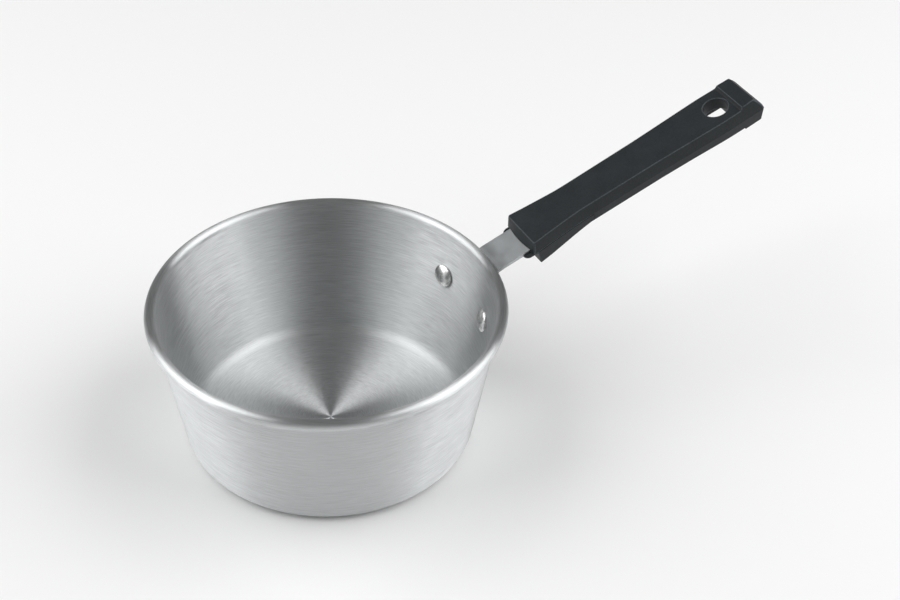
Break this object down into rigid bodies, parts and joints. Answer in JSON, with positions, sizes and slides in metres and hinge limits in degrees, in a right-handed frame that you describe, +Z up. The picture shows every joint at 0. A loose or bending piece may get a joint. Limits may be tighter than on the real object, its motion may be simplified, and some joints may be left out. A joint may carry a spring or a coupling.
{
  "type": "milk pan",
  "caption": "Deep round saucepan with a rolled rim, a flat base and a sloping two-shell stick handle on a riveted steel bracket, with a hanging hole in its end.",
  "frame": {"origin": "centre of the flat base, in the plane it stands on", "axes": "+X from the pan's axis towards the handle, +Z up along the pan's axis, +Y completes a right-handed frame"},
  "size_m": [0.3389, 0.18, 0.134],
  "materials": {
    "pan_aluminium": "brushed in circles",
    "bracket_steel": "satin",
    "rivet_steel": "polished by hammering",
    "handle_phenolic": "satin, fine grain",
    "insert_brass": "machined",
    "screw_steel": "zinc plated"
  },
  "bodies": {
    "root": {"pan_body": "pan_aluminium", "handle_bracket": "bracket_steel", "rivet_left": "rivet_steel", "rivet_right": "rivet_steel", "handle_upper_shell": "handle_phenolic", "handle_lower_shell": "handle_phenolic", "insert_front": "insert_brass", "insert_rear": "insert_brass", "screw_front": "screw_steel", "screw_rear": "screw_steel"}
  },
  "joints": []
}
